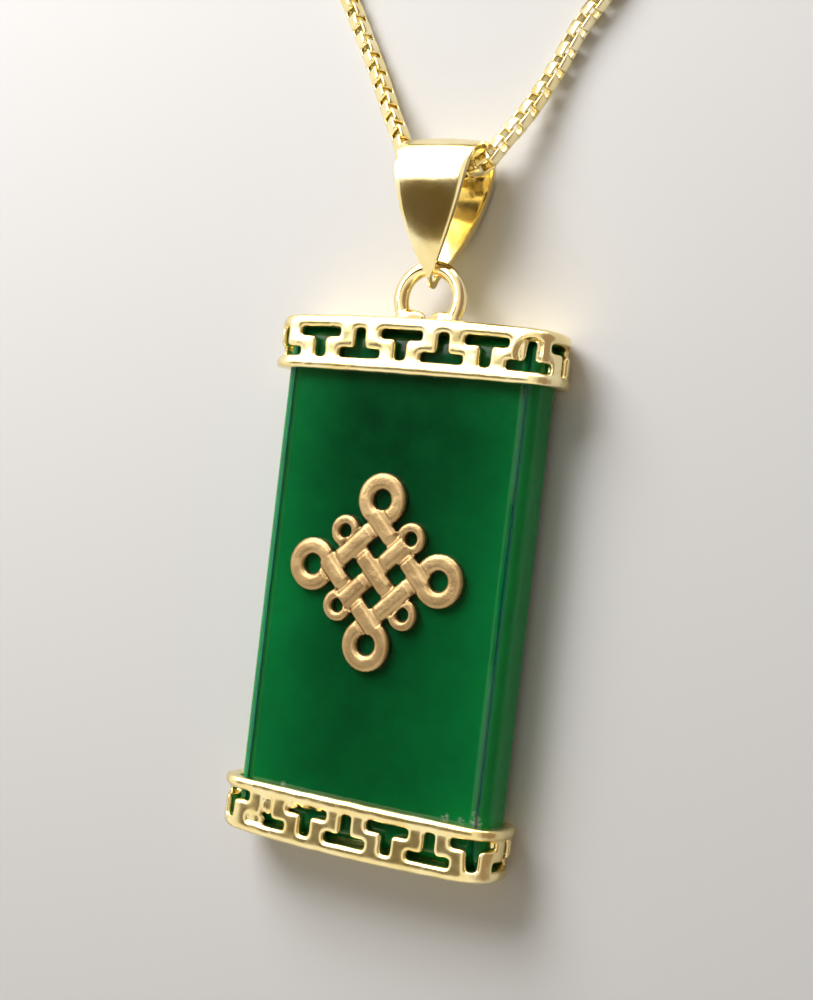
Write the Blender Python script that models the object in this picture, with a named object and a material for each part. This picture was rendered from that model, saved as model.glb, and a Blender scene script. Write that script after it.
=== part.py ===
"""Jade plaque pendant: a green stone plate held by two pierced gold end caps, with its
hanging loop, folded bail and box chain. Metres, +Z up. The pendant lies on its back:
X runs across it, Y up towards the bail, and Z out of its front face."""
import math

import bmesh
import bpy
from mathutils import Matrix, Vector

MM = 0.001

# Stone plate
STONE_WIDTH = 17.17 * MM
STONE_SHOWN = 25.8 * MM
STONE_EDGE_THICKNESS = 3.05 * MM
STONE_CROWN = 0.25 * MM
STONE_CORNER = 0.65 * MM
STONE_SEAT = 2.45 * MM
FIT = 0.05 * MM

# End caps, cast in gold-coloured metal
CAP_HEIGHT = 3.16 * MM
CAP_WALL = 0.5 * MM
CAP_SIDE_WALL = 0.76 * MM
CAP_CORNER = 1.7 * MM
CAP_OUTER_BOW = 0.26 * MM
CAP_RIM_BOW = 0.06 * MM
CAP_EDGE_ROUND = 0.3 * MM
LIP_HEIGHT = 0.5 * MM
LIP_STAND = 0.14 * MM

# Fret of T-shaped openings
FRET_FRONT_COUNT = 8
FRET_BACK_COUNT = 6
FRET_PITCH = 2.8 * MM
FRET_BAR_LENGTH = 2.9 * MM
FRET_BAR_HEIGHT = 0.66 * MM
FRET_STEM_WIDTH = 0.78 * MM
FRET_HEIGHT = 1.9 * MM
FRET_TOP_MARGIN = 0.62 * MM
FRET_CORNER = 0.16 * MM
FRET_DEPTH = 1.15 * MM
TOP_FRET_SHIFT = 1.02 * MM
BOTTOM_FRET_SHIFT = 1.24 * MM

# Hanging loop soldered on the top cap, and the bail folded through it
HANG_OFFSET = 0.28 * MM
LOOP_DIAMETER = 4.9 * MM
LOOP_WIRE = 0.96 * MM
LOOP_RISE = 1.26 * MM
SOLDER_GAP = 0.05 * MM
BAIL_WIDTH = 5.1 * MM
BAIL_TIP_WIDTH = 0.9 * MM
BAIL_TAPER = 1.8
BAIL_DEPTH = 4.7 * MM
BAIL_SHEET = 0.42 * MM
BAIL_DOME = 0.14 * MM
BAIL_PETAL_LENGTH = 6.2 * MM
BAIL_TIP_RADIUS = 0.45 * MM
BAIL_HANG = 0.66 * MM

# Cut-out ornament glued on the stone: a woven lattice with a loop at each corner
ORNAMENT_THICKNESS = 0.5 * MM
ORNAMENT_OFFSET = -0.45 * MM
ORNAMENT_RISE = 0.73 * MM
ORNAMENT_BAND = 1.15 * MM
ORNAMENT_WINDOW = 1.0 * MM
ORNAMENT_LOOP_RADIUS = 1.65 * MM
ORNAMENT_LOOP_HOLE = 0.62 * MM
ORNAMENT_EAR_RADIUS = 1.0 * MM
ORNAMENT_EAR_HOLE = 0.4 * MM
ORNAMENT_SQUASH = 0.98

# Box chain
CHAIN_WIDTH = 1.1 * MM
CHAIN_POINT_STEP = 2.6 * MM
COIL_OUTER_TURN = 9.2 * MM
COIL_TURNS = 4.5
COIL_TURN_STEP = 1.12 * MM
COIL_LAYERS = 2
COIL_CENTRE_X = 0.0
COIL_CENTRE_ABOVE_BODY = 50.3 * MM
CLASP_DIAMETER = 5.0 * MM
CLASP_WIRE = 0.85 * MM
CLASP_EYE_DIAMETER = 1.6 * MM
CLASP_EYE_WIRE = 0.4 * MM
CLASP_KNOB = 0.55 * MM
CLASP_KNOB_ANGLE = math.radians(35)
CLASP_OFFSET = 0.55 * MM
END_RING_DIAMETER = 2.6 * MM
END_RING_WIRE = 0.45 * MM

# Places that follow from the sizes above
STONE_BACK = CAP_WALL + FIT
STONE_EDGE = STONE_BACK + STONE_EDGE_THICKNESS
CAP_HALF_WIDTH = STONE_WIDTH / 2 + FIT + CAP_SIDE_WALL + LIP_STAND
CAP_EDGE = STONE_EDGE + FIT + CAP_WALL
HALF_SHOWN = STONE_SHOWN / 2
BODY_TOP = HALF_SHOWN + CAP_HEIGHT + CAP_OUTER_BOW
HANG_Z = BAIL_DEPTH / 2
LOOP_RADIUS = (LOOP_DIAMETER - LOOP_WIRE) / 2
LOOP_CENTRE = BODY_TOP + LOOP_RISE
BAIL_TIP_CENTRE = LOOP_CENTRE + LOOP_RADIUS - BAIL_HANG
BAIL_FOLD_CENTRE = BAIL_TIP_CENTRE + BAIL_PETAL_LENGTH
BAIL_TOP = BAIL_FOLD_CENTRE + BAIL_DEPTH / 2
BODY_SHIFT = -(BAIL_TOP - BODY_TOP) / 2
ORNAMENT_BLANK = 4 * (STONE_EDGE + STONE_CROWN + ORNAMENT_THICKNESS)


def material(name, colour, roughness, metallic):
    made = bpy.data.materials.new(name)
    made.use_nodes = True
    shader = made.node_tree.nodes["Principled BSDF"]
    shader.inputs["Base Color"].default_value = (*colour, 1.0)
    shader.inputs["Roughness"].default_value = roughness
    shader.inputs["Metallic"].default_value = metallic
    made.diffuse_color = (*colour, 1.0)
    return made


def collection(name):
    made = bpy.data.collections.new(name)
    bpy.context.scene.collection.children.link(made)
    return made


def add_object(name, mesh, group, finish=None):
    """Put a mesh in its collection, moved so that the whole pendant's middle is at Y = 0."""
    made = bpy.data.objects.new(name, mesh)
    made.location = (0.0, BODY_SHIFT, 0.0)
    group.objects.link(made)
    if finish:
        mesh.materials.append(finish)
        mesh.shade_smooth()
        mesh.set_sharp_from_angle(angle=math.radians(35))
    return made


def add_cutter(name, mesh):
    made = add_object(name, mesh, cutters)
    made.hide_render = True
    made.display_type = "WIRE"
    return made


def boolean(target, tool, operation):
    made = target.modifiers.new(operation.title(), "BOOLEAN")
    made.operation = operation
    made.solver = "EXACT"
    made.object = tool


def mesh_from(bm, name):
    bmesh.ops.recalc_face_normals(bm, faces=bm.faces)
    mesh = bpy.data.meshes.new(name)
    bm.to_mesh(mesh)
    bm.free()
    return mesh


def loft(name, sections, closed=False):
    """Join matching rings of points. A closed loft runs round to its first section."""
    bm = bmesh.new()
    rings = [[bm.verts.new(point) for point in section] for section in sections]
    pairs = list(zip(rings, rings[1:]))
    if closed:
        pairs.append((rings[-1], rings[0]))
    for ring, following in pairs:
        for i in range(len(ring)):
            j = (i + 1) % len(ring)
            bm.faces.new((ring[i], ring[j], following[j], following[i]))
    if not closed:
        bm.faces.new(rings[0])
        bm.faces.new(rings[-1])
    return mesh_from(bm, name)


def crown_height(x, half_width, crown):
    return crown * (1 - (x / half_width) ** 2)


def plate_profile(half_width, back, edge, crown, corner, front_steps=14, corner_steps=4):
    """Outline across the pendant: a flat back, rounded corners and a gently crowned front."""
    points = []
    inner = half_width - corner
    for step in range(corner_steps + 1):
        angle = math.radians(-90) + math.radians(90) * step / corner_steps
        points.append((inner + corner * math.cos(angle), back + corner + corner * math.sin(angle)))
    shoulder = edge + crown_height(inner, half_width, crown) - corner
    for step in range(corner_steps):
        angle = math.radians(90) * step / corner_steps
        points.append((inner + corner * math.cos(angle), shoulder + corner * math.sin(angle)))
    for step in range(front_steps // 2):
        x = inner * (1 - 2 * step / front_steps)
        points.append((x, edge + crown_height(x, half_width, crown)))
    right = list(points)
    points.append((0.0, edge + crown))
    points.extend((-x, z) for x, z in reversed(right))
    return points


def ring_of(profile, y, bow, half_width, side):
    """Stand a profile up at Y, arched lengthwise by bow. Side is 1 for the top and -1 for the bottom."""
    return [Vector((x, side * (y + bow * (1 - (x / half_width) ** 2)), z)) for x, z in profile]


def make_stone():
    length = HALF_SHOWN + STONE_SEAT
    profile = plate_profile(STONE_WIDTH / 2, STONE_BACK, STONE_EDGE, STONE_CROWN, STONE_CORNER)
    sections = [ring_of(profile, y, 0.0, STONE_WIDTH / 2, 1) for y in (-length, length)]
    return add_object("jade_plate", loft("jade_plate", sections), parts, jade)


def cap_profile(inset, edge_rise=0.0):
    """The cap's outline. Its back stays flat, so that the pendant lies on it."""
    return plate_profile(
        CAP_HALF_WIDTH - inset, edge_rise, CAP_EDGE + LIP_STAND - inset, STONE_CROWN, CAP_CORNER,
        corner_steps=6)


def cap_sections(side):
    """Rings of the cap from its rim, with the raised lip, to its rounded outer end."""
    half = LIP_STAND / 2
    stations = [
        (0.0, half, 0.0),
        (half, 0.0, 0.0),
        (LIP_HEIGHT - half, 0.0, 0.0),
        (LIP_HEIGHT + half, LIP_STAND, 0.0),
        (CAP_HEIGHT - CAP_EDGE_ROUND, LIP_STAND, 0.0),
        (CAP_HEIGHT - CAP_EDGE_ROUND * 0.3, LIP_STAND + CAP_EDGE_ROUND * 0.3, CAP_EDGE_ROUND * 0.3),
        (CAP_HEIGHT, LIP_STAND + CAP_EDGE_ROUND, CAP_EDGE_ROUND),
    ]
    sections = []
    for rise, inset, back in stations:
        bow = CAP_RIM_BOW + (CAP_OUTER_BOW - CAP_RIM_BOW) * rise / CAP_HEIGHT
        profile = cap_profile(inset, back)
        sections.append(ring_of(profile, HALF_SHOWN + rise, bow, CAP_HALF_WIDTH - inset, side))
    return sections


def fret_prism(left, right, side_up):
    """A T-shaped bar along Z with arms of two lengths, its head up where side_up is 1 and down where it is -1."""
    stem = FRET_STEM_WIDTH / 2
    top = FRET_HEIGHT / 2
    neck = top - FRET_BAR_HEIGHT
    depth = FRET_DEPTH + CAP_WALL
    outline = [(left, top), (left, neck), (-stem, neck), (-stem, -top),
               (stem, -top), (stem, neck), (right, neck), (right, top)]
    bm = bmesh.new()
    face = bm.faces.new([bm.verts.new((x, y * side_up, -FRET_DEPTH)) for x, y in outline])
    raised = bmesh.ops.extrude_face_region(bm, geom=[face])["geom"]
    corners = [item for item in raised if isinstance(item, bmesh.types.BMVert)]
    bmesh.ops.translate(bm, verts=corners, vec=(0, 0, depth))
    uprights = [edge for edge in bm.edges if abs(edge.verts[0].co.z - edge.verts[1].co.z) > depth / 2]
    bmesh.ops.bevel(bm, geom=uprights, offset=FRET_CORNER, segments=2, profile=0.5, affect="EDGES")
    return bm


def outline_sides(outline):
    points = [Vector(point) for point in outline]
    return [(point, after - point) for point, after in zip(points, points[1:] + points[:1])]


def walk(outline, distance):
    """The point at a distance along a closed outline from its first point."""
    sides = outline_sides(outline)
    distance %= sum(side.length for _, side in sides)
    for point, side in sides:
        if distance <= side.length:
            return point + side * (distance / side.length)
        distance -= side.length
    return sides[0][0]


def cut_fret(cap, side, shift):
    """Pierce the cap all round with T-shaped openings that turn about in turn, square to its surface."""
    profile = cap_profile(LIP_STAND)
    middle = len(profile) // 2
    outline = profile[middle::-1] + profile[:middle:-1]
    around = sum(side.length for _, side in outline_sides(outline))
    front = [(index - (FRET_FRONT_COUNT - 1) / 2) * FRET_PITCH + shift for index in range(FRET_FRONT_COUNT)]
    back_pitch = (around - front[-1] + front[0]) / (FRET_BACK_COUNT + 1)
    back = [front[-1] + back_pitch * (index + 1) for index in range(FRET_BACK_COUNT)]
    rise = HALF_SHOWN + CAP_HEIGHT - FRET_TOP_MARGIN - FRET_HEIGHT / 2
    bow = (CAP_RIM_BOW + CAP_OUTER_BOW) / 2
    for index, distance in enumerate(front + back):
        centre = walk(outline, distance)
        step = FRET_STEM_WIDTH / 2
        along = (walk(outline, distance + step) - walk(outline, distance - step)).normalized()
        arms = [(walk(outline, distance + half) - centre).dot(along)
                for half in (-FRET_BAR_LENGTH / 2, FRET_BAR_LENGTH / 2)]
        bm = fret_prism(*arms, -side if index % 2 == 0 else side)
        y = side * (rise + bow * (1 - (centre.x / CAP_HALF_WIDTH) ** 2))
        axes = Matrix(((along.x, 0, -along.y), (0, 1, 0), (along.y, 0, along.x))).to_4x4()
        lean = Matrix.Rotation(-side * 2 * bow * centre.x / CAP_HALF_WIDTH ** 2 * along.x, 4, "Z")
        place = Matrix.Translation((centre.x, y, centre.y)) @ axes @ lean
        bmesh.ops.transform(bm, matrix=place, verts=bm.verts)
        name = f"{cap.name}_opening_{index + 1}"
        boolean(cap, add_cutter(name, mesh_from(bm, name)), "DIFFERENCE")


def make_cap(name, side, shift):
    cap = add_object(name, loft(name, cap_sections(side)), parts, gold)
    pocket_profile = plate_profile(
        STONE_WIDTH / 2 + FIT, STONE_BACK - FIT, STONE_EDGE + FIT, STONE_CROWN, STONE_CORNER)
    pocket_end = HALF_SHOWN + STONE_SEAT + FIT
    pocket = [ring_of(pocket_profile, y, 0.0, STONE_WIDTH / 2, side)
              for y in (HALF_SHOWN - CAP_HEIGHT, pocket_end)]
    boolean(cap, add_cutter(f"{name}_pocket", loft(f"{name}_pocket", pocket)), "DIFFERENCE")
    cut_fret(cap, side, shift)
    return cap


def make_loop():
    """A round wire ring cut off flat where it is soldered on the cap."""
    bpy.ops.mesh.primitive_torus_add(
        major_segments=32, minor_segments=10, major_radius=LOOP_RADIUS, minor_radius=LOOP_WIRE / 2,
        location=(HANG_OFFSET, LOOP_CENTRE + BODY_SHIFT, HANG_Z))
    loop = bpy.context.object
    loop.name = "hanging_loop"
    loop.data.name = "hanging_loop"
    for group in list(loop.users_collection):
        group.objects.unlink(loop)
    parts.objects.link(loop)
    loop.data.materials.append(gold)
    loop.data.shade_smooth()
    bm = bmesh.new()
    bmesh.ops.create_cube(bm, size=1.0)
    bmesh.ops.scale(bm, vec=(2 * LOOP_DIAMETER, 2 * LOOP_DIAMETER, 2 * LOOP_DIAMETER), verts=bm.verts)
    lift = Vector((HANG_OFFSET, BODY_TOP + SOLDER_GAP - LOOP_DIAMETER, HANG_Z))
    bmesh.ops.translate(bm, vec=lift, verts=bm.verts)
    boolean(loop, add_cutter("loop_foot_cut", mesh_from(bm, "loop_foot_cut")), "DIFFERENCE")
    return loop


def bail_path(steps_round=12, steps_down=9, steps_tip=6):
    """Middle line of the folded strip seen from the side, as (y, z, share of the way to the tip)."""
    radius = (BAIL_DEPTH - BAIL_SHEET) / 2 - BAIL_DOME
    quarter = radius * math.pi / 2
    total = quarter + BAIL_PETAL_LENGTH
    front = []
    for step in range(steps_round // 2):
        angle = math.radians(90) * step / (steps_round // 2)
        front.append((BAIL_FOLD_CENTRE + radius * math.cos(angle), radius * math.sin(angle),
                      quarter * step / (steps_round // 2) / total))
    for step in range(steps_down + 1):
        share = step / steps_down
        y = BAIL_FOLD_CENTRE - share * BAIL_PETAL_LENGTH
        z = BAIL_TIP_RADIUS + (radius - BAIL_TIP_RADIUS) * (1 - share ** 2)
        front.append((y, z, (quarter + share * BAIL_PETAL_LENGTH) / total))
    for step in range(1, steps_tip // 2):
        angle = math.radians(90) * step / (steps_tip // 2)
        front.append((BAIL_TIP_CENTRE - BAIL_TIP_RADIUS * math.sin(angle),
                      BAIL_TIP_RADIUS * math.cos(angle), 1.0))
    bottom = [(BAIL_TIP_CENTRE - BAIL_TIP_RADIUS, 0.0, 1.0)]
    back = [(y, -z, share) for y, z, share in reversed(front[1:])]
    return front + bottom + back


def make_bail():
    """A tapered leaf of sheet metal folded over, its two points joined under the loop."""
    path = bail_path()
    sections = []
    for index, (y, z, share) in enumerate(path):
        before = path[index - 1]
        after = path[(index + 1) % len(path)]
        along = Vector((0, after[0] - before[0], after[1] - before[1])).normalized()
        outward = Vector((1, 0, 0)).cross(along)
        half = (BAIL_TIP_WIDTH + (BAIL_WIDTH - BAIL_TIP_WIDTH) * (1 - share ** BAIL_TAPER)) / 2
        centre = Vector((HANG_OFFSET, y, HANG_Z + z))
        section = []
        for across in (-1, -0.55, 0, 0.55, 1):
            lift = BAIL_SHEET / 2 + BAIL_DOME * half / (BAIL_WIDTH / 2) * (1 - across ** 2)
            section.append(centre + Vector((across * half, 0, 0)) + outward * -lift)
        for across in (1, 0, -1):
            section.append(centre + Vector((across * half, 0, 0)) + outward * BAIL_SHEET / 2)
        sections.append(section)
    return add_object("bail", loft("bail", sections, closed=True), parts, gold)


def ornament_bar(name, radius, sides, place=(0.0, 0.0)):
    """A round or square upright bar at a place in the ornament's plan, taller than the ornament."""
    bm = bmesh.new()
    bmesh.ops.create_cone(
        bm, cap_ends=True, segments=sides, radius1=radius, radius2=radius, depth=ORNAMENT_BLANK)
    bmesh.ops.translate(bm, vec=(*place, 0), verts=bm.verts)
    bmesh.ops.transform(bm, matrix=Matrix.Diagonal((ORNAMENT_SQUASH, 1, 1, 1)), verts=bm.verts)
    bmesh.ops.translate(bm, vec=(ORNAMENT_OFFSET, ORNAMENT_RISE, 0), verts=bm.verts)
    return mesh_from(bm, name)


def shape_ornament(ornament, operation, name, radius, sides, places):
    for index, place in enumerate(places):
        tool_name = f"{name}_{index + 1}"
        boolean(ornament, add_cutter(tool_name, ornament_bar(tool_name, radius, sides, place)), operation)


def make_ornament():
    """Its plan is built up and pierced as a tall bar, then trimmed to a sheet that fits the stone."""
    lattice = 3 * ORNAMENT_BAND + 2 * ORNAMENT_WINDOW
    corner = lattice / math.sqrt(2)
    ornament = add_object("front_ornament", ornament_bar("front_ornament", corner, 4), parts, matte_gold)

    reach = corner + ORNAMENT_LOOP_RADIUS / 3
    quarter_turns = [(0, 1), (1, 0), (0, -1), (-1, 0)]
    loops = [(x * reach, y * reach) for x, y in quarter_turns]
    ear = lattice / 2 + ORNAMENT_EAR_RADIUS / 2
    diagonal = ear / math.sqrt(2)
    ears = [(diagonal, diagonal), (diagonal, -diagonal), (-diagonal, -diagonal), (-diagonal, diagonal)]
    shape_ornament(ornament, "UNION", "ornament_loop", ORNAMENT_LOOP_RADIUS, 24, loops)
    shape_ornament(ornament, "UNION", "ornament_ear", ORNAMENT_EAR_RADIUS, 20, ears)

    window = (ORNAMENT_BAND + ORNAMENT_WINDOW) / math.sqrt(2)
    windows = [(x * window, y * window) for x, y in quarter_turns]
    shape_ornament(ornament, "DIFFERENCE", "ornament_window", ORNAMENT_WINDOW / math.sqrt(2), 4, windows)
    shape_ornament(ornament, "DIFFERENCE", "ornament_loop_hole", ORNAMENT_LOOP_HOLE, 16, loops)
    shape_ornament(ornament, "DIFFERENCE", "ornament_ear_hole", ORNAMENT_EAR_HOLE, 12, ears)

    reach_x = STONE_WIDTH / 2 - STONE_CORNER
    steps = 14
    rise = STONE_EDGE + FIT
    stations = [reach_x * (2 * step / steps - 1) for step in range(steps + 1)]
    under = [(x, rise + crown_height(x, STONE_WIDTH / 2, STONE_CROWN)) for x in stations]
    over = [(x, z + ORNAMENT_THICKNESS) for x, z in reversed(under)]
    sheet = [[Vector((x, y, z)) for x, z in under + over] for y in (-HALF_SHOWN, HALF_SHOWN)]
    boolean(ornament, add_cutter("ornament_sheet", loft("ornament_sheet", sheet)), "INTERSECT")
    return ornament


def smooth_route(points, step):
    """Even points along a smooth curve that passes through the given ones."""
    dense = []
    guide = [2 * points[0] - points[1], *points, 2 * points[-1] - points[-2]]
    for p0, p1, p2, p3 in zip(guide, guide[1:], guide[2:], guide[3:]):
        for part in range(16):
            t = part / 16
            dense.append(0.5 * (2 * p1 + (p2 - p0) * t + (2 * p0 - 5 * p1 + 4 * p2 - p3) * t * t
                                + (3 * p1 - p0 - 3 * p2 + p3) * t ** 3))
    dense.append(points[-1])
    lengths = [0.0]
    for first, second in zip(dense, dense[1:]):
        lengths.append(lengths[-1] + (second - first).length)
    count = max(2, round(lengths[-1] / step))
    even = []
    place = 0
    for index in range(count + 1):
        wanted = lengths[-1] * index / count
        while place < len(lengths) - 2 and lengths[place + 1] < wanted:
            place += 1
        share = (wanted - lengths[place]) / (lengths[place + 1] - lengths[place])
        even.append(dense[place].lerp(dense[place + 1], share))
    return even


def make_strand(name, route):
    """One free strand of the chain, as a plain round cord."""
    curve = bpy.data.curves.new(name, "CURVE")
    curve.dimensions = "3D"
    curve.bevel_depth = CHAIN_WIDTH / 2
    curve.bevel_resolution = 2
    curve.use_fill_caps = True
    points = smooth_route([Vector(point) * MM for point in route], CHAIN_POINT_STEP)
    spline = curve.splines.new("POLY")
    spline.points.add(len(points) - 1)
    for slot, point in zip(spline.points, points):
        slot.co = (*point, 1.0)
    curve.materials.append(gold)
    made = bpy.data.objects.new(name, curve)
    made.location = (0.0, BODY_SHIFT, 0.0)
    parts.objects.link(made)
    return made


# The chain's routes in millimetres, above the middle of the stone: out of the bail to each side,
# down to the table, and on to the coil
LEFT_ROUTE = [
    (0.08, 25.64, 2.38), (-1.22, 25.64, 2.34), (-2.35, 26.15, 2.20), (-3.47, 27.9, 1.90),
    (-4.26, 29.02, 1.55), (-5.27, 30.67, 1.10), (-6.26, 32.33, 0.78), (-7.18, 33.89, 0.62),
    (-8.04, 35.43, 0.57), (-9.3, 37.7, 0.57), (-10.0, 40.1, 0.57), (-10.0, 42.8, 0.57),
    (-9.5, 44.9, 0.57), (-9.35, 45.6, 0.57)]
RIGHT_ROUTE = [
    (0.48, 25.64, 2.38), (1.78, 25.64, 2.34), (2.8, 26.1, 2.20), (3.64, 27.33, 1.97),
    (4.45, 28.65, 1.60), (5.18, 30.03, 1.20), (5.78, 31.38, 0.90), (6.37, 32.64, 0.70),
    (6.9, 33.87, 0.60), (7.57, 35.11, 0.57), (8.48, 36.4, 0.57), (9.3, 37.9, 0.57),
    (9.9, 40.0, 0.57), (10.0, 42.4, 0.75), (9.55, 44.7, 1.15), (9.35, 45.6, 1.32)]


def coil_centre():
    return Vector((COIL_CENTRE_X, COIL_CENTRE_ABOVE_BODY, 0.0))


def make_coil():
    """The wound length of the chain as the plain ring that it fills."""
    outer = COIL_OUTER_TURN + CHAIN_WIDTH / 2
    inner = COIL_OUTER_TURN - COIL_TURNS * COIL_TURN_STEP - CHAIN_WIDTH / 2
    height = COIL_LAYERS * CHAIN_WIDTH
    chamfer = CHAIN_WIDTH / 4
    profile = [(outer, height - chamfer), (outer, chamfer), (outer - chamfer, 0.0), (inner + chamfer, 0.0),
               (inner, chamfer), (inner, height - chamfer), (inner + chamfer, height),
               (outer - chamfer, height)]
    bm = bmesh.new()
    corners = [bm.verts.new((radius, 0.0, z)) for radius, z in profile]
    edges = [bm.edges.new((corner, corners[(i + 1) % len(corners)])) for i, corner in enumerate(corners)]
    bmesh.ops.spin(bm, geom=corners + edges, cent=(0, 0, 0), axis=(0, 0, 1), angle=2 * math.pi,
                   steps=40, use_merge=True)
    bmesh.ops.translate(bm, vec=coil_centre(), verts=bm.verts)
    return add_object("chain_coil", mesh_from(bm, "chain_coil"), parts, gold)


def ring_mesh(name, diameter, wire, place, steps, sides=8):
    """A round wire ring that lies flat around the given place."""
    bm = bmesh.new()
    bmesh.ops.create_circle(bm, cap_ends=False, segments=sides, radius=wire / 2)
    bmesh.ops.rotate(bm, verts=bm.verts, cent=(0, 0, 0), matrix=Matrix.Rotation(math.pi / 2, 3, "X"))
    bmesh.ops.translate(bm, verts=bm.verts, vec=((diameter - wire) / 2, 0, 0))
    bmesh.ops.spin(bm, geom=bm.verts[:] + bm.edges[:], cent=(0, 0, 0), axis=(0, 0, 1), angle=2 * math.pi,
                   steps=steps, use_merge=True)
    bmesh.ops.translate(bm, verts=bm.verts, vec=place)
    return mesh_from(bm, name)


def clasp_centre():
    return coil_centre() + Vector((0, CLASP_OFFSET, CLASP_WIRE / 2))


def make_clasp():
    """A spring ring with its thumb knob and eye, lying in the middle of the coil."""
    ring = ring_mesh("chain_clasp", CLASP_DIAMETER, CLASP_WIRE, clasp_centre(), 24)
    clasp = add_object("chain_clasp", ring, parts, gold)

    out = (CLASP_DIAMETER + CLASP_EYE_DIAMETER) / 2 - CLASP_EYE_WIRE
    eye_place = clasp_centre() + Vector((0, -out, 0))
    eye = ring_mesh("clasp_eye", CLASP_EYE_DIAMETER, CLASP_EYE_WIRE, eye_place, 16)
    boolean(clasp, add_cutter("clasp_eye", eye), "UNION")

    knob = bmesh.new()
    bmesh.ops.create_cone(knob, cap_ends=True, segments=10, radius1=CLASP_KNOB / 2,
                          radius2=CLASP_KNOB / 2, depth=CLASP_KNOB)
    tip = Matrix.Rotation(math.pi / 2, 4, "Y")
    turn = Matrix.Rotation(CLASP_KNOB_ANGLE, 4, "Z")
    slide = Matrix.Translation((CLASP_DIAMETER / 2, 0, 0))
    bmesh.ops.transform(knob, matrix=Matrix.Translation(clasp_centre()) @ turn @ slide @ tip, verts=knob.verts)
    boolean(clasp, add_cutter("clasp_knob", mesh_from(knob, "clasp_knob")), "UNION")
    return clasp


def make_end_ring():
    """The ring at the chain's other end. It lies across the clasp's wire."""
    out = (CLASP_DIAMETER - CLASP_WIRE) / 2
    rise = (CLASP_WIRE + END_RING_WIRE) / 2 + FIT
    place = clasp_centre() + Vector((-out, 0, rise))
    ring = ring_mesh("chain_end_ring", END_RING_DIAMETER, END_RING_WIRE, place, 18)
    return add_object("chain_end_ring", ring, parts, gold)


for old in list(bpy.data.objects):
    bpy.data.objects.remove(old, do_unlink=True)

parts = collection("jade_plaque")
cutters = collection("jade_plaque_cutters")
jade = material("polished_green_jade", (0.005, 0.13, 0.04), 0.12, 0.0)
gold = material("polished_gold_plate", (0.86, 0.66, 0.30), 0.18, 1.0)
matte_gold = material("matte_gold_plate", (0.66, 0.52, 0.28), 0.42, 1.0)

make_stone()
make_cap("top_cap", 1, TOP_FRET_SHIFT)
make_cap("bottom_cap", -1, BOTTOM_FRET_SHIFT)
make_loop()
make_bail()
make_ornament()
make_strand("chain_left_strand", LEFT_ROUTE)
make_strand("chain_right_strand", RIGHT_ROUTE)
make_coil()
make_clasp()
make_end_ring()
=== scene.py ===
"""A jade plaque pendant lying on its back on pale paper: a green stone plate between two cast end caps,
with its hanging loop, folded bail, front ornament and box chain."""
import math

import bmesh
import bpy
from mathutils import Euler, Matrix, Vector, noise


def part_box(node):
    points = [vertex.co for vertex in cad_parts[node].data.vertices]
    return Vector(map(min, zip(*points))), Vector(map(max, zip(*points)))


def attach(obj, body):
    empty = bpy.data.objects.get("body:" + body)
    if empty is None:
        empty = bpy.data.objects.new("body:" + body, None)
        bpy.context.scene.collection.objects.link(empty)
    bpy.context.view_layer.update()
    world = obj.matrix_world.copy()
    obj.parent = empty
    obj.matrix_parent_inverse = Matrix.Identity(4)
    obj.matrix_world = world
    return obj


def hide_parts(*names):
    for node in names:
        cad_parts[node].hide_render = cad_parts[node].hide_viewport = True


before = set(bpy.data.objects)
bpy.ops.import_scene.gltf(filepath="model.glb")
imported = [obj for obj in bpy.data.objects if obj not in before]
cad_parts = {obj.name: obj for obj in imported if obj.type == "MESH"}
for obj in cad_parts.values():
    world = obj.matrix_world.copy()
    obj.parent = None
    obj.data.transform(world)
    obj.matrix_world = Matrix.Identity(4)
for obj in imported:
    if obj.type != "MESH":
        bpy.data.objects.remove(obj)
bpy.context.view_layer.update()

# Camera
# A phone is held about 11 cm from the pendant, above it and to its right, a little turned against its length.
MM = 0.001
stone_low, stone_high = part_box("jade_plate")
STONE_MIDDLE = Vector((0.0, (stone_low.y + stone_high.y) / 2, 0.0))
CAMERA_PLACE = Vector((46.80, 5.72, 95.09)) * MM
CAMERA_TURN = (3.116, 26.484, 7.492)
FOCAL_LENGTH_PX = 1700
PICTURE_HEIGHT_PX = 1000
SENSOR_SIZE = 36.0

camera_data = bpy.data.cameras.new("phone_camera")
camera_data.sensor_width = SENSOR_SIZE
camera_data.lens = SENSOR_SIZE * FOCAL_LENGTH_PX / PICTURE_HEIGHT_PX
camera_data.clip_start = 5 * MM
camera_data.clip_end = 5.0
camera = bpy.data.objects.new("phone_camera", camera_data)
camera.location = CAMERA_PLACE + STONE_MIDDLE
camera.rotation_euler = Euler([math.radians(angle) for angle in CAMERA_TURN])
bpy.context.scene.collection.objects.link(camera)
bpy.context.scene.camera = camera


# Box chain
# Square links folded from gold-plated strip, each one turned a quarter against its neighbours and hooked into
# them. It runs through the bail, and the length that isn't in view is wound in a coil of two layers.
LINK_PITCH = 0.69 * MM
LINK_LENGTH = 1.03 * MM
LINK_WIDTH = 1.06 * MM
LINK_STRIP = 0.68 * MM
LINK_WALL = 0.17 * MM
LINK_CORNER = 0.2 * MM
LINK_EDGE_ROUND = 0.045 * MM
FINE_LINKS = 26
CHAIN_TURN_AT_BAIL = math.radians(-23)
TURNED_LENGTH = 18 * MM
FLAT_FROM_LENGTH = 27 * MM
COIL_CENTRE = Vector((0.0, 50.3, 0.0)) * MM + STONE_MIDDLE
COIL_ENTRY_RADIUS = 9.4 * MM
COIL_TURN_STEP = 1.12 * MM
COIL_LAYERS_Z = (0.57 * MM, 1.67 * MM)
COIL_STEP = math.radians(15)

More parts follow.
